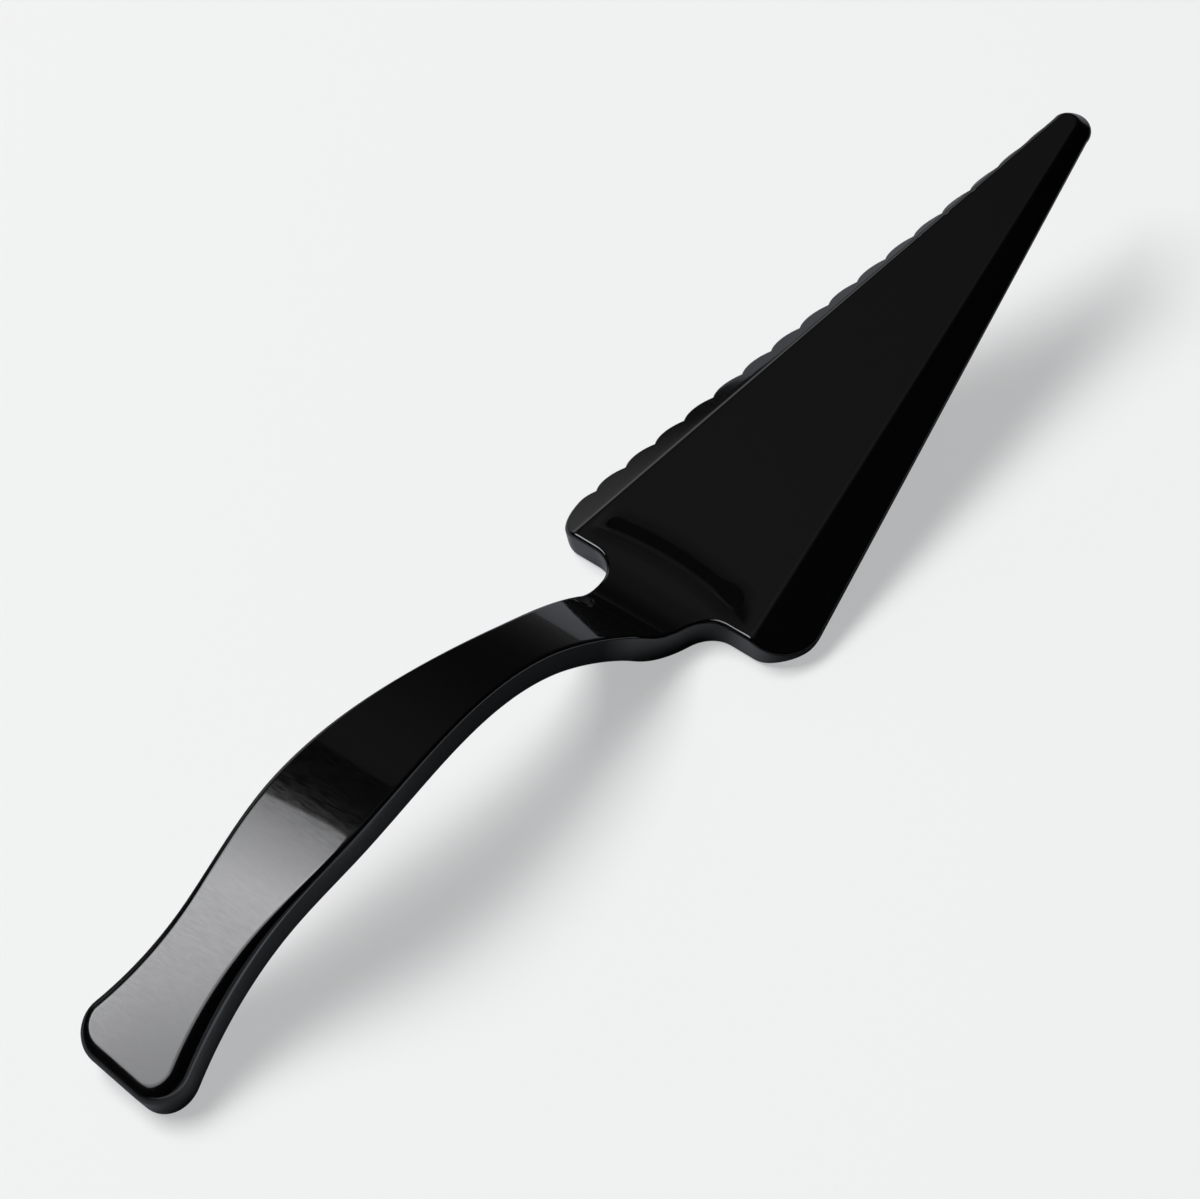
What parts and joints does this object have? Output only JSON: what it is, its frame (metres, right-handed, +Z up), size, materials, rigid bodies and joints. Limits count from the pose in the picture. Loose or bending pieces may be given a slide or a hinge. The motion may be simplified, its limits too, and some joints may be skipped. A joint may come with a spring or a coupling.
{
  "type": "cake cutter",
  "caption": "One-piece gloss black plastic cake cutter: flat wedge blade with sloping wings, one scalloped, and an arched channel handle.",
  "frame": {"origin": "middle of the bounding box in plan, on the level that the butt and the heel rest on", "axes": "+X from the handle's butt towards the blade's tip, +Y towards the scalloped wing, +Z up"},
  "size_m": [0.2546, 0.052, 0.0345],
  "materials": {
    "black_polystyrene": "gloss black polystyrene, moulded in one shot against polished steel"
  },
  "bodies": {
    "root": {"blade_deck": "black_polystyrene", "serrated_wing": "black_polystyrene", "plain_wing": "black_polystyrene", "blade_tip": "black_polystyrene", "heel_wall_left": "black_polystyrene", "heel_wall_right": "black_polystyrene", "neck": "black_polystyrene", "handle_arch": "black_polystyrene", "handle_grip": "black_polystyrene", "handle_butt": "black_polystyrene"}
  },
  "joints": []
}
